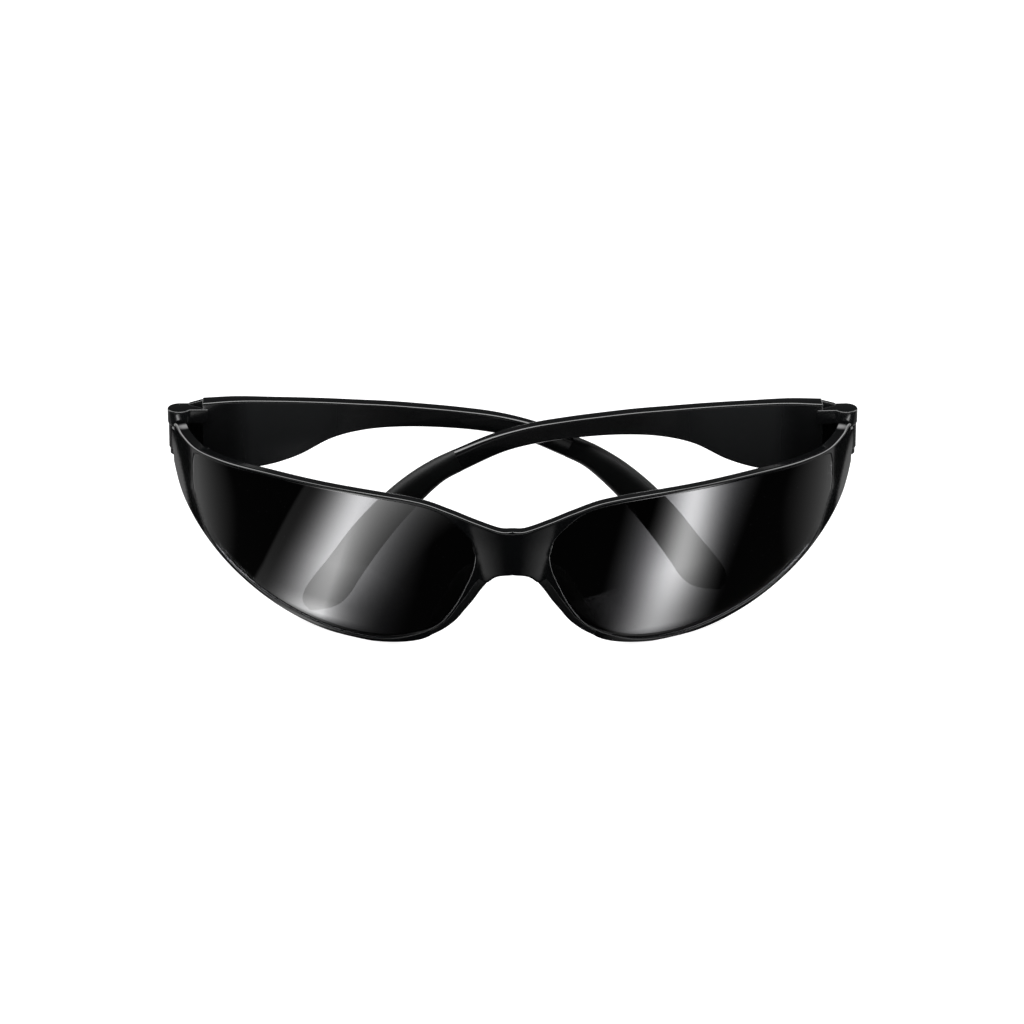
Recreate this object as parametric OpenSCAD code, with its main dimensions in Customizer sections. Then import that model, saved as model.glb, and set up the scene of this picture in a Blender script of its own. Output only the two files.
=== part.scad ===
// Tinted wraparound safety glasses with two folding temples.
// They lie folded on a table: the lower rims and the two ear tips touch it at z = 0.
// Left and right are the wearer's. The wearer's left is at +X, and the wearer looks along -Y.
// The front is cut from a thin ball. A place on it is [u, z]: u runs along the wrap from the
// middle, z is the height above the table, and a third number is the depth out of the ball.

/* [Front] */
// Outside radius of the ball that the front wraps round
front_r = 78; // [76:0.5:90]
// Height of the ball's centre above the table
ball_z = 31; // [27:0.5:35]
// Thickness of the frame
frame_t = 2.4; // [2.2:0.1:3]
// Width of the rim round a lens
rim_w = 0.9; // [0.8:0.05:1.4]
// Height of the brow above the table
brow_z = 36.8; // [34:0.2:40]
// How far the brow falls from its highest point to the side wing
brow_fall = 3.9; // [2:0.1:6]
// How far the upper corner of the side wing rises again
wing_rise = 1.8; // [0.5:0.1:2.4]
// Height of the side wing at its rear end
wing_h = 7.6; // [6:0.2:9]
// Length of the side wing past the lens opening, to the hinge pin
wing_len = 10.9; // [10.4:0.1:12]

/* [Bridge] */
// Height of the bridge's upper edge above the table
bridge_top_z = 30.8; // [29:0.2:33]
// Height of the nose arch above the table
arch_z = 20.6; // [18:0.2:22]
// Gap between the inner tips of the two lens openings
bridge_w = 15.4; // [14:0.2:16.8]

/* [Lenses] */
// Thickness of a lens
lens_t = 1.4; // [1:0.1:1.6]
// Length of a lens opening along the wrap
lens_w = 73.4; // [71:0.2:75]
// How deep a lens sits in the groove of its rim
groove_d = 0.4; // [0.2:0.05:0.5]
// Frame wall in front of a lens
lip_t = 0.5; // [0.45:0.05:0.6]
// Play between parts that are fitted together
fit_gap = 0.05; // [0.02:0.01:0.08]

/* [Nose pads] */
// Width of the pad's lip on the front of the frame
pad_lip_w = 0.9; // [0.6:0.05:1]
// Thickness of the pad's lip
pad_lip_t = 0.4; // [0.3:0.05:0.45]
// How far the pad stands past the frame's edge towards the nose
pad_edge_w = 1.1; // [0.8:0.05:1.3]
// Depth of the pad's wing behind the front
pad_depth = 9; // [7:0.2:11]
// How far the wing splays apart towards the face
pad_splay = 3.4; // [2:0.1:5]

/* [Hinges] */
// How far a hinge pin's axis lies inside the outer face of the front
pin_in = 2.1; // [2:0.05:2.3]
// Radius of a hinge pin
pin_r = 0.75; // [0.6:0.05:0.9]
// Radius of the rounded top hinge ear
ear_r = 2.5; // [2.3:0.05:2.6]
// Thickness of the top hinge ear
ear_t = 3.2; // [2.6:0.1:3.4]
// Radius of the frame's hinge barrel and of the low ear under it
barrel_r = 2.05; // [1.9:0.05:2.1]
// Height of the frame's hinge barrel
barrel_h = 5.4; // [4.8:0.1:5.8]
// Thickness of the low hinge ear
low_ear_t = 1.3; // [1:0.1:1.6]
// How far the top hinge ear stands above the upper corner of the side wing
ear_rise = 2.2; // [2:0.1:2.6]
// Play above and below the barrel
ear_gap = 0.15; // [0.1:0.05:0.25]
// Room round the hinge ears in the frame
ear_room = 0.3; // [0.25:0.05:0.5]
// Radius of the pin's head
head_r = 1.25; // [1.1:0.05:1.5]
// Thickness of the pin's head
head_t = 0.6; // [0.4:0.05:0.8]

/* [Temples] */
// How far a temple stands above its top hinge ear
temple_rise = 1.8; // [1.4:0.1:2.2]
// Height of a temple's broad end
temple_h = 15.6; // [14.5:0.1:16.5]
// Height of a temple's narrow waist
waist_h = 4.6; // [4:0.1:5]
// Thickness of a temple at its hinge
temple_t = 3.6; // [3.4:0.1:3.8]
// Thickness of a temple at its waist
waist_t = 2.8; // [2.4:0.1:2.9]
// Distance from the pin to the temple's broad end face
root_gap = 5.2; // [4.6:0.1:6]
// Distance from the pin to the thin heel that covers the hinge from outside
heel_gap = 2; // [2:0.05:2.6]
// Rounding of a temple's edges
edge_r = 0.5; // [0.3:0.05:0.7]
// How far the temple bows in towards the head at the ear tip's end
temple_bow = 12.4; // [11.8:0.1:13]
// Angle by which the left temple is folded past straight across
left_overfold = 4.1; // [4.1:0.1:5.4]
// Angle by which the right temple stays short of straight across, over the left one
right_short = 0.9; // [0.9:0.1:1.6]

/* [Ear tips] */
// Distance from the pin to the far end of an ear tip
temple_len = 115; // [112:0.5:118]
// Widest thickness of an ear tip
tip_t = 4.6; // [4:0.1:5.4]
// Thickness of the tang inside an ear tip
tang_t = 1.3; // [1:0.1:1.6]

/* [Hidden] */
$fn = 96;

lens_in = bridge_w / 2;
lens_out = lens_in + lens_w;
front_half = lens_out + wing_len;
bridge_rise = brow_z - bridge_top_z;
wing_top_z = brow_z - brow_fall + wing_rise;
wing_low_z = wing_top_z - wing_h;
ear_top_z = wing_top_z + ear_rise;
temple_z = ear_top_z + temple_rise;
barrel_top_z = ear_top_z - ear_t - ear_gap;
barrel_low_z = barrel_top_z - barrel_h;
ear_low_z = barrel_low_z - ear_gap - low_ear_t;
bore_r = pin_r + fit_gap;
// The pin ends inside the top ear, which covers it
pin_top_z = ear_top_z - 0.2 * ear_t;
pin_turn = front_half / front_r * 180 / PI;
pin_x = (front_r - pin_in) * sin(pin_turn);
pin_back = front_r - (front_r - pin_in) * cos(pin_turn);
// The bridge's front face lies where the origin comes under the middle of the folded pair
front_y = -(pin_back + 0.75 * temple_t) / 2;
ball_y = front_y + front_r;
hinge_y = front_y + pin_back;

// Smooth curve through a list of points, with n steps to each span
function blend4(a, b, c, d, t) =
    b + (c - a) * t / 2 + (2 * a - 5 * b + 4 * c - d) * t * t / 2
    + (3 * b - a - 3 * c + d) * t * t * t / 2;
function at(p, i) =
    i < 0 ? 2 * p[0] - p[1] : i >= len(p) ? 2 * p[len(p) - 1] - p[len(p) - 2] : p[i];
function smooth(p, n) = [
    for (i = [0 : len(p) - 2], k = [0 : n - 1])
        blend4(at(p, i - 1), p[i], p[i + 1], at(p, i + 2), k / n),
    p[len(p) - 1]
];
function mix(a, b, t) = a + (b - a) * t;
function reversed(p) = [for (i = [len(p) - 1 : -1 : 0]) p[i]];
function mirrored(p) = [for (q = p) [-q[0], q[1]]];

// Place [u, z] on the front, sunk by d below its outside
function on_front(u, z, d) =
    let (up = asin((z - ball_z) / front_r), side = u / front_r * 180 / PI, r = front_r - d)
    [r * cos(up) * sin(side), ball_y - r * cos(up) * cos(side), ball_z + r * sin(up)];

// Place along the wrap that lies at a share f of the lens opening's length
function along(f) = lens_in + f * lens_w;

// Upper edge of the frame's left half, from the bridge to the rear corner of the wing
top_edge = [
    [0, bridge_top_z],
    [0.18 * bridge_w, bridge_top_z + 0.02 * bridge_rise],
    [along(0.005), bridge_top_z + 0.33 * bridge_rise],
    [along(0.074), bridge_top_z + 0.64 * bridge_rise],
    [along(0.16), bridge_top_z + 0.92 * bridge_rise],
    [along(0.286), brow_z],
    [along(0.459), brow_z - 0.08 * brow_fall],
    [along(0.653), brow_z - 0.31 * brow_fall],
    [along(0.85), brow_z - 0.77 * brow_fall],
    [along(0.98), brow_z - brow_fall],
    [front_half - 0.55 * wing_len, brow_z - brow_fall + 0.4 * wing_rise],
    [front_half - 0.24 * wing_len, wing_top_z],
    [front_half - 0.08 * wing_len, wing_top_z - 0.08 * wing_h],
    [front_half, wing_top_z - 0.32 * wing_h]
];
// Lower edge of the same half, with as many points
low_edge = [
    [0, arch_z],
    [0.234 * bridge_w, 0.971 * arch_z],
    [0.416 * bridge_w, 0.833 * arch_z],
    [0.539 * bridge_w, 0.694 * arch_z],
    [0.792 * bridge_w, 0.426 * arch_z],
    [1.013 * bridge_w, 0.282 * arch_z],
    [along(0.181), 0.0625 * brow_z],
    [along(0.29), 0.008 * brow_z],
    [along(0.418), -0.011 * brow_z],
    [along(0.576), 0.016 * brow_z],
    [along(0.755), 0.106 * brow_z],
    [along(0.943), 0.269 * brow_z],
    [front_half - 0.42 * wing_len, 0.484 * brow_z],
    [front_half - 0.03 * wing_len, wing_low_z]
];
// Where a nose pad sits, the frame's edge is set back by the pad's thickness
nose_edge = smooth([
    [0.338 * bridge_w, 0.914 * arch_z],
    [0.435 * bridge_w, 0.813 * arch_z],
    [0.539 * bridge_w, 0.689 * arch_z],
    [0.662 * bridge_w, 0.56 * arch_z],
    [0.792 * bridge_w, 0.426 * arch_z],
    [0.974 * bridge_w, 0.297 * arch_z],
    [1.182 * bridge_w, 0.191 * arch_z]
], 4);

// Upper and lower edge of a lens opening, from its inner tip to its outer end
lens_top = [
    [lens_in, 0.695 * brow_z],
    [lens_in + 0.045 * bridge_w, 0.766 * brow_z],
    [along(0.037), bridge_top_z + 0.15 * bridge_rise - rim_w],
    [along(0.095), bridge_top_z + 0.7 * bridge_rise - rim_w],
    [along(0.169), bridge_top_z + 0.93 * bridge_rise - rim_w],
    [along(0.286), brow_z - rim_w],
    [along(0.459), brow_z - 0.08 * brow_fall - rim_w],
    [along(0.653), brow_z - 0.31 * brow_fall - rim_w],
    [along(0.85), brow_z - 0.77 * brow_fall - rim_w],
    [along(0.965), brow_z - brow_fall - rim_w],
    [along(0.99), 0.962 * brow_z - brow_fall - rim_w],
    [lens_out, 0.707 * brow_z]
];
lens_low = [
    [lens_in, 0.663 * brow_z],
    [lens_in + 0.032 * bridge_w, 0.592 * brow_z],
    [lens_in + 0.123 * bridge_w, 0.88 * arch_z],
    [lens_in + 0.305 * bridge_w, 0.598 * arch_z],
    [lens_in + 0.571 * bridge_w, 0.344 * arch_z],
    [along(0.208), 0.065 * brow_z + rim_w],
    [along(0.317), 0.003 * brow_z + rim_w],
    [along(0.467), -0.005 * brow_z + rim_w],
    [along(0.644), 0.052 * brow_z + rim_w],
    [along(0.808), 0.149 * brow_z + rim_w],
    [along(0.954), 0.342 * brow_z],
    [along(0.999), 0.598 * brow_z]
];

// Moves a closed outline out by d, square to its own edge
function grown(p, d) = [
    for (i = [0 : len(p) - 1])
        let (e = p[(i + 1) % len(p)] - p[(i + len(p) - 1) % len(p)])
        p[i] + d * [-e[1], e[0]] / norm(e)
];
function lens_loop(d) = grown(concat(smooth(lens_top, 4), reversed(smooth(lens_low, 4))), d);
function frame_loop() = concat(
    reversed(mirrored(smooth(top_edge, 4))), slice(smooth(top_edge, 4), 1),
    reversed(smooth(low_edge, 4)), slice(mirrored(smooth(low_edge, 4)), 1)
);
function slice(p, from) = [for (i = [from : len(p) - 1]) p[i]];

// Solid skinned over rings of points. Each ring runs down one side and back up the other, with
// m points to a side, and its two ends are closed by rungs between the sides.
module skin(rings, m) {
    n = 2 * m;
    last = len(rings) - 1;
    walls = [
        for (k = [0 : last - 1], j = [0 : n - 1])
            let (a = k * n + j, b = k * n + (j + 1) % n)
            each [[a, b + n, b], [a, a + n, b + n]]
    ];
    rungs = [for (i = [0 : m - 2]) each [[i, n - 2 - i, n - 1 - i], [i, i + 1, n - 2 - i]]];
    start = rungs;
    finish = [for (f = rungs) [for (v = reversed(f)) v + last * n]];
    polyhedron([for (r = rings) each r], concat(walls, start, finish));
}

// Cutter with its point at the ball's centre and its walls through an outline on the front
module radial_cutter(loop) {
    n = len(loop);
    far = -0.25 * front_r;
    points = [for (q = loop) on_front(q[0], q[1], far)];
    cap = [for (i = [0 : n / 2 - 2]) each [[i, i + 1, n - 2 - i], [i, n - 2 - i, n - 1 - i]]];
    sides = [for (i = [0 : n - 1]) [n, (i + 1) % n, i]];
    polyhedron([each points, [0, ball_y, ball_z]], concat(cap, sides));
}

// Shell of the ball between two depths below its outside
module shell(d0, d1) {
    translate([0, ball_y, ball_z])
        difference() {
            sphere(r = front_r - d0, $fn = 180);
            sphere(r = front_r - d1, $fn = 180);
        }
}

// Strip along the nose edge. Each profile point is [e, d, k]: e past the edge towards the nose,
// d the depth below the front, and k what the strip's swell adds to both.
// The profile runs down one side and back up the other. Both ends run on by longer, and the
// strip gets narrower towards its lower end, where the rim is narrow too.
module nose_strip(profile, longer = 0) {
    n = len(nose_edge);
    rings = [
        for (i = [0 : n - 1])
            let (
                t = nose_edge[min(i + 1, n - 1)] - nose_edge[max(i - 1, 0)],
                out = [t[1], -t[0]] / norm(t),
                run = (i == 0 ? -longer : i == n - 1 ? longer : 0) * t / norm(t),
                swell = pow(sin(180 * (i + 1.5) / (n + 2)), 0.6),
                narrow = 1 - 0.4 * pow(i / (n - 1), 2)
            )
            [for (q = profile)
                let (
                    k = is_undef(q[2]) ? 0 : q[2] * swell,
                    p = nose_edge[i] + run + (narrow * q[0] - k * pad_splay) * out
                )
                on_front(p[0], p[1], q[1] + k * (pad_depth - frame_t))]
    ];
    skin(rings, len(profile) / 2);
}

// Room that the frame leaves for a nose pad: its lip in front and its wall at the edge
module nose_pad_seat() {
    lip_in = -pad_edge_w - pad_lip_w - fit_gap;
    lip_deep = pad_lip_t + fit_gap;
    wall_in = -pad_edge_w - 2 * fit_gap;
    past = 2 * pad_edge_w;
    over = frame_t + past;
    nose_strip([[lip_in, -past], [past, -past], [past, lip_deep], [lip_in, lip_deep]], fit_gap);
    nose_strip([[wall_in, -past], [past, -past], [past, over], [wall_in, over]], fit_gap);
}

// Pad with a thin lip on the front, a wall over the frame's edge and a wing towards the face
module nose_pad() {
    back = 1.125 * frame_t;
    bulge = 0.1 * pad_edge_w;
    lip_in = -pad_edge_w - pad_lip_w;
    nose_side = [
        [lip_in, 0],
        [-pad_edge_w, 0],
        [-4 * bulge, bulge / 2],
        [0, pad_lip_t],
        [-bulge, back],
        [0, back, 0.4],
        [2 * bulge, back, 0.8],
        [-5 * bulge, back, 1]
    ];
    face_side = [
        [lip_in, pad_lip_t],
        [-pad_edge_w - 3 * bulge, pad_lip_t],
        [-pad_edge_w, pad_lip_t],
        [-pad_edge_w, frame_t / 2],
        [-pad_edge_w, back + bulge],
        [-pad_edge_w - bulge, back + bulge, 0.4],
        [-pad_edge_w, back, 0.77],
        [-pad_edge_w, back, 0.97]
    ];
    nose_strip(concat(nose_side, reversed(face_side)));
}

module one_lens() {
    intersection() {
        shell(lip_t + fit_gap, lip_t + fit_gap + lens_t);
        radial_cutter(lens_loop(groove_d - fit_gap));
    }
}

// Runs a child at each hinge pin's place, in the part's own frame
module at_pins() {
    for (side = [-1, 1])
        translate([side * pin_x, hinge_y, 0]) children();
}

// Room under the table's surface, which flattens what rests on it
module table() {
    translate([-1.5 * front_r, -1.5 * front_r, -brow_z])
        cube([3 * front_r, 3 * front_r, brow_z]);
}

module frame() {
    difference() {
        union() {
            intersection() {
                shell(0, frame_t);
                radial_cutter(frame_loop());
            }
            at_pins() translate([0, 0, barrel_low_z]) cylinder(r = barrel_r, h = barrel_h);
        }
        for (side = [0, 1])
            mirror([side, 0, 0]) {
                radial_cutter(lens_loop(0));
                intersection() {
                    shell(lip_t, lip_t + lens_t + 2 * fit_gap);
                    radial_cutter(lens_loop(groove_d));
                }
                nose_pad_seat();
            }
        at_pins() {
            translate([0, 0, barrel_low_z - pin_r])
                cylinder(r = bore_r, h = barrel_h + 2 * pin_r);
            translate([0, 0, barrel_top_z])
                cylinder(r = ear_r + ear_room, h = wing_h / 2);
            low_room = low_ear_t + ear_gap + head_t + ear_room;
            translate([0, 0, barrel_low_z - low_room])
                cylinder(r = barrel_r + ear_room, h = low_room);
            translate([0, 0, arch_z])
                cylinder(r = head_r + 2 * fit_gap, h = barrel_low_z - arch_z);
        }
        table();
    }
}

module lens_left() { one_lens(); }
module lens_right() { mirror([1, 0, 0]) one_lens(); }
module nose_pad_left() { nose_pad(); }
module nose_pad_right() { mirror([1, 0, 0]) nose_pad(); }

// Temple, in its own frame: s along it from the pin, w in towards the head, z up.
// Upper and lower edge, as pairs of points that face each other.
waist_low = 0.966 * temple_z - waist_h;
function on_arm(s, z) = [s * temple_len, z];
function low_on_arm(s, drop) = [s * temple_len, waist_low - drop * temple_z];
function high_on_arm(s, drop) = [s * temple_len, (1 - drop) * temple_z];
arm_edges = [
    [[root_gap, 0.987 * temple_z], [root_gap, 1.01 * temple_z - temple_h]],
    [high_on_arm(0.104, 0), on_arm(0.104, temple_z - temple_h)],
    [high_on_arm(0.174, 0), on_arm(0.157, temple_z - 0.96 * temple_h)],
    [high_on_arm(0.261, 0.008), on_arm(0.217, temple_z - 0.81 * temple_h)],
    [high_on_arm(0.322, 0.016), on_arm(0.278, temple_z - 0.56 * temple_h)],
    [high_on_arm(0.383, 0.023), low_on_arm(0.339, 0.021)],
    [high_on_arm(0.443, 0.034), low_on_arm(0.409, 0)],
    [high_on_arm(0.513, 0.049), low_on_arm(0.487, 0)],
    [high_on_arm(0.583, 0.07), low_on_arm(0.561, 0.016)],
    [high_on_arm(0.652, 0.112), low_on_arm(0.63, 0.057)],
    [high_on_arm(0.722, 0.179), low_on_arm(0.705, 0.148)]
];
// Ear tip in shares of the temple's length and height: [s, z] above and [s, z] below
tip_form = [
    [0.765, 0.769, 0.741, 0.649],
    [0.813, 0.688, 0.781, 0.548],
    [0.861, 0.577, 0.826, 0.408],
    [0.909, 0.436, 0.866, 0.26],
    [0.95, 0.283, 0.897, 0.13],
    [0.979, 0.182, 0.913, 0.057],
    [0.996, 0.109, 0.93, 0.01],
    [1, 0.052, 0.951, -0.008],
    [0.99, 0.005, 0.97, -0.006]
];
tip_edges = [
    arm_edges[10],
    for (q = tip_form)
        [[q[0] * temple_len, q[1] * temple_z], [q[2] * temple_len, q[3] * temple_z]]
];
bow_start = 0.174 * temple_len;
function bow(s) = temple_bow * pow(max(s - bow_start, 0) / (temple_len - bow_start), 2.3);
function middle(s) = bow(s) - 0.09 * temple_t - 0.19 * temple_t * max(0, 1 - s / bow_start);

// Ring round one section of a strip from point a down to point b, th thick, with corner radius r
function section(a, b, th, r) =
    let (
        h = norm(b - a),
        down = (b - a) / h,
        rr = min(r, 0.46 * th, 0.46 * h),
        corner = [for (q = [0 : 30 : 90]) [rr - rr * cos(q), th / 2 - rr + rr * sin(q)]],
        side = concat(corner, [for (c = reversed(corner)) [h - c[0], c[1]]]),
        place = function (c, way) let (q = a + down * c[0]) [q[0], middle(q[0]) + way * c[1], q[1]]
    )
    concat([for (c = side) place(c, -1)], [for (c = reversed(side)) place(c, 1)]);
function shrunk(pair, share) =
    [mix(pair[0], pair[1], share), mix(pair[1], pair[0], share)];

module strip(edges, thickness, r, steps = 3) {
    a = smooth([for (q = edges) q[0]], steps);
    b = smooth([for (q = edges) q[1]], steps);
    th = smooth(thickness, steps);
    skin([for (i = [0 : len(a) - 1]) section(a[i], b[i], th[i], r)], 8);
}

// Tongue of a temple that runs on inside its ear tip, from within the temple's own end
module tang(play) {
    past_end = [for (k = [0, 1]) mix(arm_edges[10][k], tip_edges[1][k], 0.4)];
    edges = [
        shrunk(arm_edges[9], 0.27),
        shrunk(past_end, 0.29),
        for (i = [1 : 3]) shrunk(tip_edges[i], 0.34)
    ];
    grow = [
        for (q = edges)
            let (d = play * (q[0] - q[1]) / norm(q[0] - q[1])) [q[0] + d, q[1] - d]
    ];
    th = tang_t + 2 * play;
    strip(grow, [for (q = edges) th], 0.3 * tang_t, 2);
}

// Ear of a temple round its pin, r in radius and t thick, with a strap back to the root
module ear(low, r, t) {
    translate([0, 0, low]) {
        cylinder(r = r, h = t);
        translate([0, -r, 0]) cube([1.2 * root_gap, r + 0.36 * temple_t, t]);
    }
}

// Thin outer skin of a temple that reaches past its end face and covers the hinge
module heel() {
    skin_t = 0.31 * temple_t;
    outside = middle(root_gap) - 0.47 * temple_t;
    low = temple_z - 0.94 * temple_h;
    translate([heel_gap, outside, low])
        cube([1.2 * root_gap - heel_gap, skin_t, 0.88 * temple_h]);
}

module temple() {
    near_root = (temple_t + waist_t) / 2;
    th = [temple_t, near_root, for (i = [2 : 10]) waist_t];
    difference() {
        union() {
            strip(arm_edges, th, edge_r);
            tang(0);
            heel();
            ear(ear_low_z, barrel_r, low_ear_t);
            ear(ear_top_z - ear_t, ear_r, ear_t);
        }
        translate([0, 0, ear_low_z - head_t])
            cylinder(r = pin_r, h = pin_top_z - ear_low_z + head_t);
    }
}

module ear_tip() {
    shares = [0.86, 0.93, 1, 1, 1, 1, 0.95, 0.8, 0.6, 0.3];
    th = [1.1 * waist_t, for (i = [0 : 8]) shares[i] * tip_t];
    difference() {
        strip(tip_edges, th, tip_t);
        tang(fit_gap);
        table();
    }
}

module hinge_pin() {
    translate([0, 0, ear_low_z]) cylinder(r = pin_r, h = pin_top_z - ear_low_z);
    translate([0, 0, ear_low_z - head_t]) cylinder(r = head_r, h = head_t);
}

// Puts a temple's own frame at the left or the right hinge, folded across behind the front
module folded_left() {
    translate([pin_x, hinge_y, 0]) rotate([0, 0, 180 + left_overfold]) children();
}
module folded_right() {
    mirror([1, 0, 0])
        translate([pin_x, hinge_y, 0]) rotate([0, 0, 180 - right_short]) children();
}

module temple_left() { folded_left() temple(); }
module temple_right() { folded_right() temple(); }
module ear_tip_left() { folded_left() ear_tip(); }
module ear_tip_right() { folded_right() ear_tip(); }
module hinge_pin_left() { folded_left() hinge_pin(); }
module hinge_pin_right() { folded_right() hinge_pin(); }

gloss = "#17181a";
matte = "#26282a";
tint = "#303438cc";
color(gloss) frame();
color(tint) lens_right();
color(tint) lens_left();
color(matte) nose_pad_right();
color(matte) nose_pad_left();
color(gloss) temple_right();
color(gloss) temple_left();
color(matte) ear_tip_right();
color(matte) ear_tip_left();
color("silver") hinge_pin_right();
color("silver") hinge_pin_left();
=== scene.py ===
"""Looks of the tinted safety glasses, built round the packed model in its own frame, in metres."""

import math

import bmesh
import bpy
import numpy as np
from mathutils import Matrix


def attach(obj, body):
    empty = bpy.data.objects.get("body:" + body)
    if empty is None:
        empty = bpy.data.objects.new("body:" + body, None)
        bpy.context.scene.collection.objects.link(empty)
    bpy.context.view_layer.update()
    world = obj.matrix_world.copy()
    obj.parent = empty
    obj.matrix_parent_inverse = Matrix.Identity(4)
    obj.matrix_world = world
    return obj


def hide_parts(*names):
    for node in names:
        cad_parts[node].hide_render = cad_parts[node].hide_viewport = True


bl_info = {
    "name": "Tinted Safety Glasses",
    "version": (1, 0, 0),
    "blender": (4, 5, 0),
    "location": "3D View > Sidebar > Eyewear",
    "description": "Makes wraparound safety glasses with tinted lenses and folding temples",
    "category": "Add Mesh",
}

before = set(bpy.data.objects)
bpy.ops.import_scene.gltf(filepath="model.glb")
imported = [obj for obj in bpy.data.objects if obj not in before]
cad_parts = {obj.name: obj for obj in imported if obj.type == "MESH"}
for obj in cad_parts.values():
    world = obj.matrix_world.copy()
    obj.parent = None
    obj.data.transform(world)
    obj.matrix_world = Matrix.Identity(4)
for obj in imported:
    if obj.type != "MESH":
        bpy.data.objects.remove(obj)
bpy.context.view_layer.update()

MM = 0.001


def linear(hex_colour):
    """Linear RGBA of an sRGB hex colour."""
    parts = np.array([int(hex_colour[i : i + 2], 16) / 255 for i in (1, 3, 5)])
    low = parts / 12.92
    high = ((parts + 0.055) / 1.055) ** 2.4
    return (*np.where(parts <= 0.04045, low, high).tolist(), 1.0)


# Outlines on the front in millimetres: along the wrap from the middle, and above the table
TOP_EDGE = np.array([
    [0, 30.8], [2.77, 30.92], [8.07, 32.78], [13.13, 34.64], [19.44, 36.32], [28.69, 36.8],
    [41.39, 36.49], [55.63, 35.59], [70.09, 33.8], [79.63, 32.9], [86, 33.62],
    [89.38, 34.7], [91.13, 34.09], [92, 32.27],
])
LOW_EDGE = np.array([
    [0, 20.6], [3.6, 20], [6.41, 17.16], [8.3, 14.3], [12.2, 8.78], [15.6, 5.81],
    [20.99, 2.3], [28.99, 0.29], [38.38, -0.4], [49.98, 0.59], [63.12, 3.9], [76.92, 9.9],
    [87.42, 17.81], [91.67, 27.1],
])
NOSE_EDGE = np.array([
    [5.21, 18.83], [6.7, 16.75], [8.3, 14.19], [10.19, 11.54], [12.2, 8.78], [15, 6.12],
    [18.2, 3.93],
])
LENS_TOP = np.array([
    [7.7, 25.58], [8.39, 28.19], [10.42, 30.8], [14.67, 34.1], [20.1, 35.48],
    [28.69, 35.9], [41.39, 35.59], [55.63, 34.69], [70.09, 32.9], [78.53, 32],
    [80.37, 30.6], [81.1, 26.02],
])
LENS_LOW = np.array([
    [7.7, 24.4], [8.19, 21.79], [9.59, 18.13], [12.4, 12.32], [16.49, 7.09], [22.97, 3.29],
    [30.97, 1.01], [41.98, 0.72], [54.97, 2.81], [67.01, 6.38], [77.72, 12.59], [81.03, 22.01],
])
# Places on the outer edge, and the places on the lens opening that the rim joins them to
RIM_TIES = np.array([
    [0, 30.8, 8.4, 28.2], [8.1, 32.8, 10.0, 30.35], [13.1, 34.64, 14.0, 33.6],
    [28.7, 36.8, 28.7, 35.9], [55.6, 35.6, 55.6, 34.7], [74, 33.3, 73.6, 32.5],
    [79.6, 32.9, 78.3, 32.1], [86, 33.6, 80.3, 30.8], [90.15, 34.6, 80.8, 29.2],
    [90.15, 33.55, 80.85, 28.6], [91.45, 33.55, 80.9, 28.1], [91.75, 28.15, 81.1, 24.9],
    [90.95, 28.15, 81.09, 24.4], [90.95, 25.8, 81.0, 22.6], [91.2, 25.8, 80.95, 22.2],
    [87.42, 17.81, 79.9, 17.2], [76.9, 9.9, 75.4, 11.2], [63.1, 3.9, 62.6, 4.95],
    [50, 0.59, 49.9, 1.85], [38.4, -0.4, 38.5, 0.62], [29, 0.29, 29.3, 1.4],
    [21, 2.3, 21.7, 3.9], [16.6, 6.3, 17.3, 6.4], [13.2, 9.5, 14.6, 9.3],
    [9.4, 14.9, 11.2, 14.7], [7.5, 17.9, 9.7, 17.9], [3.6, 20, 8.3, 21.1],
    [0, 20.6, 7.9, 23.0],
])
# Hinge in the places of the front: the pin, and the rooms for the two ears in the wing's end,
# each with its place along the wrap, its heights and the reach of its ear
PIN_U, PIN_DEPTH = 92, 2.1
HIGH_ROOM_U, HIGH_ROOM_Z, HIGH_REACH = 90.15, 33.55, 2.8
LOW_ROOM_U, LOW_ROOM_Z, LOW_REACH = 90.95, (25.8, 28.15), 2.35


def curve(points, steps):
    """Catmull-Rom curve: each span is the cubic through its two points, with the slope at a
    point taken along the line between that point's neighbours. The end spans run on straight."""
    p = np.asarray(points, float)
    p = np.vstack([2 * p[0] - p[1], p, 2 * p[-1] - p[-2]])
    a, b, c, d = (p[i : len(p) - 3 + i][:, None] for i in range(4))
    t = (np.arange(steps) / steps)[None, :, None]
    bend = (2 * a - 5 * b + 4 * c - d) * t * t + (3 * b - a - 3 * c + d) * t**3
    whole = b + ((c - a) * t + bend) / 2
    return np.vstack([whole.reshape(-1, p.shape[1]), p[-2]])


def arc_length(line):
    """Distance along a line of points, from its start."""
    return np.concatenate([[0], np.cumsum(np.linalg.norm(np.diff(line, axis=0), axis=1))])


def spread(line, count, closed=False):
    """Same line with count points at even distances along it."""
    p = np.vstack([line, line[:1]]) if closed else line
    s = arc_length(p)
    at = np.linspace(0, s[-1], count, endpoint=not closed)
    return np.stack([np.interp(at, s, p[:, k]) for k in range(p.shape[1])], 1)


def grown(loop, by):
    """Closed loop moved out by a distance, square to the line between each point's neighbours."""
    e = np.roll(loop, -1, 0) - np.roll(loop, 1, 0)
    side = np.stack([-e[:, 1], e[:, 0]], 1)
    return loop + by * side / np.linalg.norm(e, axis=1, keepdims=True)


def smooth(value, low, high):
    """Smooth step from 0 at low to 1 at high."""
    share = np.clip((value - low) / (high - low), 0, 1)
    return share * share * (3 - 2 * share)


def edge_distance(points, line):
    """Distance from each point to the nearest place on a line of straight pieces."""
    a, b = line[:-1], line[1:]
    run = b - a
    to = points[..., None, :] - a
    t = np.clip((to * run).sum(-1) / (run * run).sum(-1), 0, 1)
    return np.linalg.norm(to - t[..., None] * run, axis=-1).min(-1)


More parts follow.
